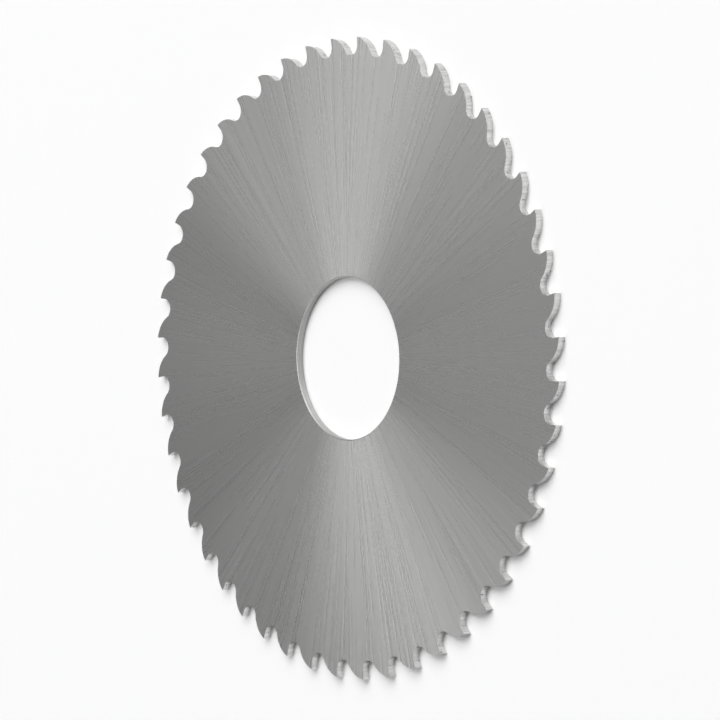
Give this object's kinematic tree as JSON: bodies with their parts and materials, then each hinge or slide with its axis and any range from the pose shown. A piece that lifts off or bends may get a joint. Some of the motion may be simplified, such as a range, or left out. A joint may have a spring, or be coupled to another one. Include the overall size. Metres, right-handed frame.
{
  "type": "slitting saw",
  "caption": "Thin round slitting saw for a milling arbor: hollow ground steel disc with a plain bore and curved-back teeth round its edge.",
  "frame": {"origin": "centre of the bore, half way through the thickness", "axes": "+Z along the bore and out of the side that the picture shows, +X through one cutting edge; the blade lies flat, and seen from +Z its teeth point anticlockwise"},
  "size_m": [0.063, 0.063, 0.0008],
  "materials": {
    "ground_steel": "hardened high speed steel, sides surface ground with fine marks that run out from the bore, teeth and bore ground bright, uncoated"
  },
  "bodies": {
    "root": {"saw_blade": "ground_steel"}
  },
  "joints": []
}
